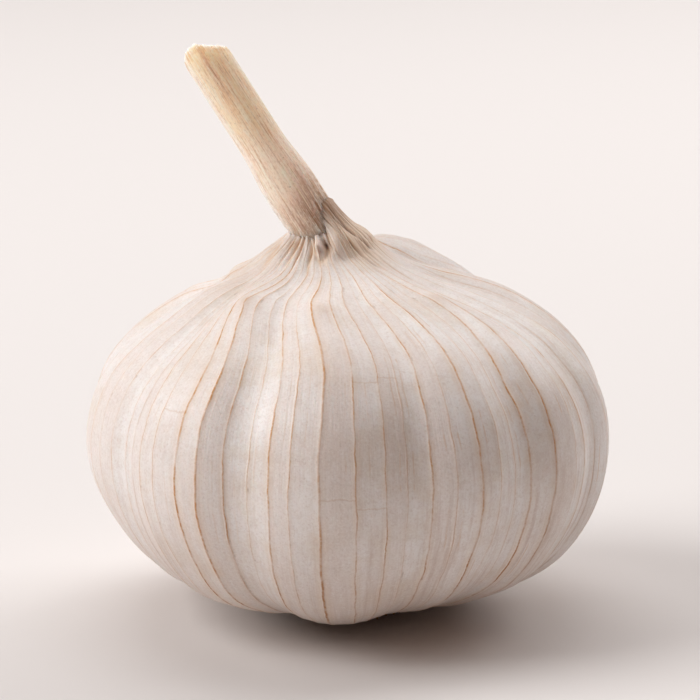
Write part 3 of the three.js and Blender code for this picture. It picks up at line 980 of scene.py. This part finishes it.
# %% Noises of the skin
at["panel"] = add_node(tree, "TexWhiteNoise", {"W": at["panel_number"]}, noise_dimensions="1D")
for name, (width, length) in ALONG_VEINS.items():
    scale = (2 * math.pi * HEAD_RADIUS / width, SKIN_LENGTH / length, 1)
    spots = add_node(tree, "Mapping", {0: uv, "Scale": scale})
    at[name] = add_node(tree, "TexNoise", {0: spots, "Scale": 1, "Detail": 3, "Roughness": 0.6})
for name, (shift, length) in ON_A_VEIN.items():
    spots = add_node(tree, "Mapping", {0: on_course, "Scale": (shift, SKIN_LENGTH / length, 1)})
    at[name] = add_node(tree, "TexNoise", {0: spots, "Scale": 1, "Detail": 4, "Roughness": 0.65})
for name, size in ALL_WAYS.items():
    settings = {0: place_on, "Scale": 1 / (size * MM), "Detail": 4, "Roughness": 0.65}
    at[name] = add_node(tree, "TexNoise", settings)

# %% [markdown]
# A vein's line is where the distance to the vein is small. That distance, in mm, is the share of
# the panel times its width, and a noise along the vein bends it. A painted highlight along one
# edge of a vein, the brown edge of a lapped sheet with painted shade beside it on the other
# side, and a fainter vein inside each panel are found in the same way, at other distances. A dry
# skin also creases across a panel, from one vein to the next: each panel is cut into short cells,
# and a draw for each cell says whether it has such a crease.

# %% Distances from the veins
SHIVER_WIDTH = 0.4
# Beside each vein lie a painted highlight and, on its other side, the brown edge of a lapped sheet with
# painted shade: their distances from the vein in mm.
HIGHLIGHT_EDGE_AT = -0.17
LAP_EDGE_AT = 0.14
CROSS_GAP = 3.4
CROSS_BEND = 0.45
CROSS_STAGGER = 7.0
FAINT_SPREAD, FAINT_FROM = 0.5, 0.25

# Each row: a name for the result, the sum, and the names or numbers that go into it.
for name, operation, *parts in (
        ("bend", "MULTIPLY_ADD", "shiver", SHIVER_WIDTH, -SHIVER_WIDTH / 2),
        ("from_vein", "SUBTRACT", "count", "vein_number"),
        ("vein_side", "MULTIPLY_ADD", "from_vein", "pitch", "bend"),
        ("pale_side", "SUBTRACT", "vein_side", HIGHLIGHT_EDGE_AT),
        ("lap_side", "SUBTRACT", "vein_side", LAP_EDGE_AT),
        ("faint_at", "MULTIPLY_ADD", "panel", FAINT_SPREAD, FAINT_FROM),
        ("panel_share", "FRACT", "count"),
        ("from_faint", "SUBTRACT", "panel_share", "faint_at"),
        ("faint_side", "MULTIPLY_ADD", "from_faint", "pitch", "bend"),
        ("cross_bend", "MULTIPLY", "clouds", CROSS_BEND),
        ("cross_shift", "MULTIPLY_ADD", "panel", CROSS_STAGGER, "cross_bend"),
        ("cross_count", "MULTIPLY_ADD", "up", SKIN_LENGTH / CROSS_GAP, "cross_shift"),
        ("cross_cell", "FLOOR", "cross_count"),
        ("cross_share", "FRACT", "cross_count"),
        ("cross_side", "MULTIPLY_ADD", "cross_share", CROSS_GAP, -CROSS_GAP / 2)):
    inputs = {socket: at.get(part, part) for socket, part in enumerate(parts)}
    at[name] = add_node(tree, "Math", inputs, operation=operation)
for name in ("vein", "pale", "lap", "faint", "cross"):
    at[name + "_away"] = add_node(tree, "Math", {0: at[name + "_side"]}, operation="ABSOLUTE")
cross_name = add_node(tree, "CombineXYZ", {"X": at["panel_number"], "Y": at["cross_cell"]})
at["cross_draw"] = add_node(tree, "TexWhiteNoise", {"Vector": cross_name}, noise_dimensions="2D")

# %% Masks of the skin
# A mask goes softly from one strength to another while a value goes from low to high. The last
# two read a distance from the vein that is made longer where the panels are narrow or the vein
# is weak, so that the line is finer there.
# The skin is darker and browner towards the bottom.
MASKS = (
    ("thinner", "pitch", 0.4, 2.4, 2.2, 1), ("strong", "vein_strength", 0.55, 1, 1.15, 0.55),
    ("lower", "up", 0.62, 0.35, 0.45, 1), ("darker_below", "up", 0.5, 0.15, 0, 0.55),
    ("root", "up", 0.15, 0.05, 0, 0.55), ("wide", "pitch", 1, 2.2, 0, 1),
    ("ungathered", "gathered", 0.2, 0.6, 1, 0), ("vein_colour", "gathered", 0.5, 0.95, 1, 0.45),
    ("lap_power", "power", 0.35, 0.6, 0.25, 1), ("some", "power", 0.5, 0.62, 0, 1),
    ("vein_power", "power", 0.32, 0.66, 0.3, 1.15), ("beaded", "beads", 0.32, 0.6, 0.55, 1.1),
    ("few", "marks", 0.6, 0.72, 0, 0.7), ("has_cross", "cross_draw", 0.955, 0.97, 0, 0.25),
    ("mottled", "mottle", 0.4, 0.66, 0, 0.55), ("warm", "warmth", 0.48, 0.66, 0, 0.55),
    ("own_tone", "panel", 0.2, 1, 0, 0.6), ("clouded", "clouds", 0.5, 0.7, 0, 0.22),
    ("streaked", "streaks", 0.48, 0.72, 0, 0.65), ("fibrous", "fibres", 0.5, 0.75, 0, 0.5),
    ("pale_fibres", "fibres", 0.48, 0.28, 0, 0.25), ("dark_paper", "paper", 0.5, 0.72, 0, 0.25),
    ("dark_grit", "grit", 0.5, 0.72, 0, 0.4), ("pale_grit", "grit", 0.48, 0.28, 0, 0.35),
    ("tan_ridges", "tanned", 0.3, 1, 0, 0.6), ("folds", "fold_shade", 0.3, 1, 0, 0.6),
    ("tips", "tip_tint", 0.2, 1, 0, 0.4), ("painted_highlight_line", "pale_away", 0.02, 0.1, 0.5, 0),
    ("faint_line", "faint_away", 0.03, 0.14, 0.45, 0), ("lap_line", "lap_away", 0.03, 0.15, 0.7, 0),
    ("lap_shade", "lap_away", 0, 0.9, 0.3, 0), ("cross_line", "cross_away", 0.03, 0.13, 1, 0),
    ("vein_line", "thin_away", 0.025, 0.11, 1, 0), ("halo", "thin_away", 0, 0.7, 0.33, 0),
)
for name, value, low, high, start, end in MASKS:
    inputs = {0: at[value], 1: low, 2: high, 3: start, 4: end}
    at[name] = add_node(tree, "MapRange", inputs, interpolation_type="SMOOTHSTEP")
    if name == "strong":
        thin = add_node(tree, "Math", {0: at["vein_away"], 1: at["thinner"]}, operation="MULTIPLY")
        at["thin_away"] = add_node(tree, "Math", {0: thin, 1: at["strong"]}, operation="MULTIPLY")

# %% Masks that depend on other masks
# Each row: the mask, and what it is multiplied by. The result keeps the mask's name.
PRODUCTS = (
    ("vein_power", "vein_strength"), ("halo", "vein_power"), ("beaded", "vein_power"),
    ("vein_line", "beaded"), ("vein_colour", "vein_line"), ("streaked", "lower"), ("fibrous", "lower"),
    ("streaked", "streaky"), ("fibrous", "streaky"), ("faint_line", "streaky"), ("faint_line", "some"),
    ("faint_line", "wide"), ("painted_highlight_line", "some"), ("painted_highlight_line", "ungathered"), ("few", "lap_line"),
    ("vein_dark", "lap_power"), ("vein_dark", "lower"), ("lap_line", "vein_dark"),
    ("lap_shade", "vein_dark"), ("cross_line", "has_cross"), ("cross_line", "wide"),
)
for name, other in PRODUCTS:
    at[name] = add_node(tree, "Math", {0: at[name], 1: at[other]}, operation="MULTIPLY", use_clamp=True)

# %% Colours of the skin
# From the leaf itself upwards, each colour is laid over the last one through its mask.
OVER_SKIN = (
    ("mottled", "#e3d6cd"), ("warm", "#e0d2c2"), ("own_tone", "#e8dcd5"), ("clouded", "#d6c4ba"),
    ("darker_below", "#d9c3b5"), ("streaked", "#ccb5a8"), ("fibrous", "#d8c6bc"), ("pale_fibres", "#faf5f2"),
    ("dark_paper", "#cfbdb2"), ("dark_grit", "#cdbaaf"), ("pale_grit", "#fdf9f7"), ("tips", "#c9ab92"),
    ("halo", "#e9cbac"), ("tan_ridges", "#e8c49d"), ("root", "#b8916c"), ("lap_shade", "#a98f7d"),
    ("faint_line", "#d6b493"), ("painted_highlight_line", "#fbf5f0"), ("few", "#a58a77"), ("cross_line", "#c39b76"),
    ("lap_line", "#8d6f59"), ("vein_colour", "vein"), ("folds", "#78492f"),
)
vein_ends = {0: at["lower"], 6: linear("#dba56e"), 7: linear("#b58152")}
vein_tint = add_node(tree, "Mix", vein_ends, 2, data_type="RGBA")
colour = linear("#f0ebe8")
for name, over in OVER_SKIN:
    over = vein_tint if over == "vein" else linear(over)
    colour = add_node(tree, "Mix", {0: at[name], 6: colour, 7: over}, 2, data_type="RGBA")
# Painted brown shade and the skin's own straw yellow are multiplied over the colour.
for name, over in (("straw", "#e3c595"), ("painted_brown_shade", "#b49580")):
    colour = add_node(tree, "Mix", {0: at[name], 6: colour, 7: linear(over)}, 2,
                      data_type="RGBA", blend_type="MULTIPLY")

# %% Surface of the skin
SKIN_BUMP = 0.07
SKIN_BUMPS = (("vein_line", 0.3), ("cross_line", -0.8), ("paper", 0.5), ("grit", 0.35))
ROUGHNESSES = (0.4, 0.58)

bumps = at["fibres"]
for name, size in SKIN_BUMPS:
    bumps = add_node(tree, "Math", {0: at[name], 1: size, 2: bumps}, operation="MULTIPLY_ADD")
bumped = add_node(tree, "Bump", {"Height": bumps, "Strength": 0.6, "Distance": SKIN_BUMP * MM})
ends = {3: ROUGHNESSES[0], 4: ROUGHNESSES[1]}
rough = add_node(tree, "MapRange", {0: at["mottle"], 1: 0.3, 2: 0.7, **ends})
shader = add_node(tree, "BsdfPrincipled", {
    "Base Color": colour, "Roughness": rough, "IOR": 1.45, "Normal": bumped,
    "Subsurface Weight": 0.2, "Subsurface Radius": (1.0, 0.55, 0.4), "Subsurface Scale": 1.2 * MM})
add_node(tree, "OutputMaterial", {"Surface": shader})
skin.data.materials.append(skin_finish)

# %% [markdown]
# ### Dry stalk
# The stalk is straw: yellow-tan near the cut, paler and pinker further down, grey-brown at the
# foot. Long fibres give it streaks from cream to brown, and painted shade darkens its grooves. A
# dry stem lets a good deal of light through, so its shaded side is hardly darker than its lit one.

# %% Patterns of the stalk
# Width and length in mm of the fibres, from grit and fine hairs to broad streaks. Real hairs are
# finer. They are drawn this coarse to show at all.
STALK_GRAIN = {
    "grit": (0.16, 0.5), "hairs": (0.13, 6), "fibres": (0.24, 8), "bundles": (0.5, 5), "streaks": (1.6, 12),
}
FLECK_SIZE = 0.35

stalk_finish, tree = new_finish("dry_fibrous_stalk")
uv = add_node(tree, "UVMap", uv_map="along_fibres")
place_on = add_node(tree, "TexCoord", output="Object")
at = {name: add_node(tree, "Attribute", output="Fac", attribute_name=name) for name in ON_STALK}
at["flecks"] = add_node(tree, "TexNoise", {
    0: place_on, "Scale": 1 / (FLECK_SIZE * MM), "Detail": 3, "Roughness": 0.6})
for name, (width, length) in STALK_GRAIN.items():
    scale = (2 * math.pi * STALK_RADIUS / width, (STALK_LENGTH + STALK_HIDDEN) / length, 1)
    spots = add_node(tree, "Mapping", {0: uv, "Scale": scale})
    at[name] = add_node(tree, "TexNoise", {0: spots, "Scale": 1, "Detail": 3, "Roughness": 0.6})

# %% Colours and surface of the stalk
# From the straw itself upwards: what the mask depends on, from which low to which high it grows
# to which strength, the colour, and for one of them what the mask is multiplied by.
OVER_STALK = (
    ("along", 0.56, 0.3, 0.85, "#fce6d6"), ("foot", 0, 1, 0.8, "#b48f77"),
    ("pale_side", 0, 1, 0.6, "#f0e4d9"), ("bundles", 0.5, 0.7, 0.65, "#fff3e4"),
    ("along", 0.93, 1, 0.7, "#cfa374"), ("streaks", 0.5, 0.68, 0.25, "#e0b582"),
    ("stain", 0, 1, 0.45, "#b07f52"), ("fibres", 0.55, 0.68, 0.6, "#cda06e"),
    ("fibres", 0.46, 0.34, 0.9, "#f9e8d4"), ("fibres", 0.55, 0.68, 0.6, "#744a31", "foot"),
    ("hairs", 0.54, 0.68, 0.5, "#a97c55"), ("hairs", 0.48, 0.34, 0.7, "#fff1e0"),
    ("grit", 0.5, 0.7, 0.3, "#b08a68"), ("grit", 0.5, 0.3, 0.5, "#fff4e8"),
    ("groove", 0.65, 1, 0.35, "#8f6547"), ("flecks", 0.66, 0.76, 0.5, "#6d4a30"),
)
STALK_BUMP = 0.12
STALK_BUMPS = (("bundles", 0.8), ("hairs", 0.5), ("flecks", 0.3))

colour = linear("#ffe3c4")
for name, low, high, amount, over, *others in OVER_STALK:
    inputs = {0: at[name], 1: low, 2: high, 3: 0, 4: amount}
    share = add_node(tree, "MapRange", inputs, interpolation_type="SMOOTHSTEP")
    for other in others:
        share = add_node(tree, "Math", {0: share, 1: at[other]}, operation="MULTIPLY")
    colour = add_node(tree, "Mix", {0: share, 6: colour, 7: linear(over)}, 2, data_type="RGBA")
cut_ends = {0: at["cut_face"], 6: colour, 7: linear("#c9a26e")}
colour = add_node(tree, "Mix", cut_ends, 2, data_type="RGBA")
bumps = at["fibres"]
for name, size in STALK_BUMPS:
    bumps = add_node(tree, "Math", {0: at[name], 1: size, 2: bumps}, operation="MULTIPLY_ADD")
bumped = add_node(tree, "Bump", {"Height": bumps, "Strength": 0.8, "Distance": STALK_BUMP * MM})
shader = add_node(tree, "BsdfPrincipled", {
    "Base Color": colour, "Roughness": 0.72, "IOR": 1.45, "Normal": bumped,
    "Subsurface Weight": 1, "Subsurface Radius": (1.0, 0.78, 0.66), "Subsurface Scale": 4 * MM})
add_node(tree, "OutputMaterial", {"Surface": shader})
stalk.data.materials.append(stalk_finish)

# %% [markdown]
# ### Cork and roots
# The plate is brown cork, matt and lumpy, with dark pits. The cut roots are lighter, like straw.

# %% Build the cork
LUMP_SIZE = 1.1
PORE_SIZE = 0.55
CORK_BUMP = 0.2

cork_finish, tree = new_finish("trimmed_root_cork")
place_on = add_node(tree, "TexCoord", output="Object")
root_at = add_node(tree, "Attribute", output="Fac", attribute_name="root")
lumps = add_node(tree, "TexNoise", {
    0: place_on, "Scale": 1 / (LUMP_SIZE * MM), "Detail": 5, "Roughness": 0.7})
pores = add_node(tree, "TexVoronoi", {0: place_on, "Scale": 1 / (PORE_SIZE * MM)})
colour = linear("#7a5c43")
for value, low, high, amount, over in (
        (lumps, 0.45, 0.7, 0.7, "#a5835f"), (pores, 0.3, 0.05, 0.6, "#4b3424"),
        (root_at, 0.2, 1, 0.9, "#c4a27a")):
    share = add_node(tree, "MapRange", {0: value, 1: low, 2: high, 3: 0, 4: amount})
    colour = add_node(tree, "Mix", {0: share, 6: colour, 7: linear(over)}, 2, data_type="RGBA")
bumped = add_node(tree, "Bump", {"Height": lumps, "Strength": 0.9, "Distance": CORK_BUMP * MM})
shader = add_node(tree, "BsdfPrincipled", {
    "Base Color": colour, "Roughness": 0.92, "IOR": 1.45, "Normal": bumped})
add_node(tree, "OutputMaterial", {"Surface": shader})
plate.data.materials.append(cork_finish)

# %% [markdown]
# ## Floor, light and camera
# The bulb stands on a plain pale floor. One large soft light hangs high on the left, a second
# one above the back, and a weaker one behind on the right. Pale surroundings fill the shade, so
# the lobes show by their soft right flanks.

# %% Floor
FLOOR_SIZE = 6

bpy.ops.object.select_all(action="DESELECT")
bpy.ops.mesh.primitive_plane_add(size=FLOOR_SIZE)
floor = bpy.context.object
floor.name = "floor"
floor_finish, tree = new_finish("matt_white_board")
shader = add_node(tree, "BsdfPrincipled", {"Base Color": linear("#dfdbd9"), "Roughness": 0.9})
add_node(tree, "OutputMaterial", {"Surface": shader})
floor.data.materials.append(floor_finish)

# %% Lights
MIDDLE = Vector((0, 0, 0.03))
# Azimuth and elevation in degrees, distance and size in metres, power in watts.
LIGHTS = {"key": (-82, 36, 1.2, 0.8, 11.8), "top": (-175, 66, 1.0, 0.8, 5.0), "rim": (132, 36, 0.9, 0.5, 3.4)}
ROOM_STRENGTH = 0.155

for name, (azimuth, elevation, distance, size, power) in LIGHTS.items():
    x, y = heading(azimuth)
    level = math.cos(math.radians(elevation))
    hung = MIDDLE + distance * Vector((x * level, y * level, math.sin(math.radians(elevation))))
    bpy.ops.object.light_add(type="AREA", location=hung)
    lamp = bpy.context.object
    lamp.name = name
    lamp.data.size = size
    lamp.data.energy = power
    lamp.rotation_euler = (MIDDLE - hung).to_track_quat("-Z", "Y").to_euler()

world = bpy.data.worlds.new("pale_room")
world.use_nodes = True
world.node_tree.nodes["Background"].inputs["Color"].default_value = linear("#ffdfd1")
world.node_tree.nodes["Background"].inputs["Strength"].default_value = ROOM_STRENGTH
bpy.context.scene.world = world
bpy.context.scene.view_settings.view_transform = "Standard"

# %% Camera
EYE_ELEVATION = 14
EYE_DISTANCE = 0.45
FRAME_WIDTH = 0.08015
SENSOR_WIDTH = 36
LOOK_AT = Vector((0.0002, 0, 0.0303))
HEAD_MIDDLE = Vector((0, 0, 0.022))

tilt = math.radians(EYE_ELEVATION)
eye = HEAD_MIDDLE + EYE_DISTANCE * Vector((0, -math.cos(tilt), math.sin(tilt)))
bpy.ops.object.camera_add(location=eye)
camera = bpy.context.object
camera.rotation_euler = (LOOK_AT - eye).to_track_quat("-Z", "Y").to_euler()
camera.data.sensor_width = SENSOR_WIDTH
camera.data.lens = SENSOR_WIDTH * EYE_DISTANCE / FRAME_WIDTH
bpy.context.scene.camera = camera
print("lens", round(camera.data.lens), "mm")

# %% Tie the pieces to the frame
for piece, node, slot in ((skin, "bulb", "skin"), (stalk, "stem", "stalk"), (plate, "root_plate", "root")):
    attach(piece, "root")
    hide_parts(node)

# %% Update the scene
bpy.context.view_layer.update()
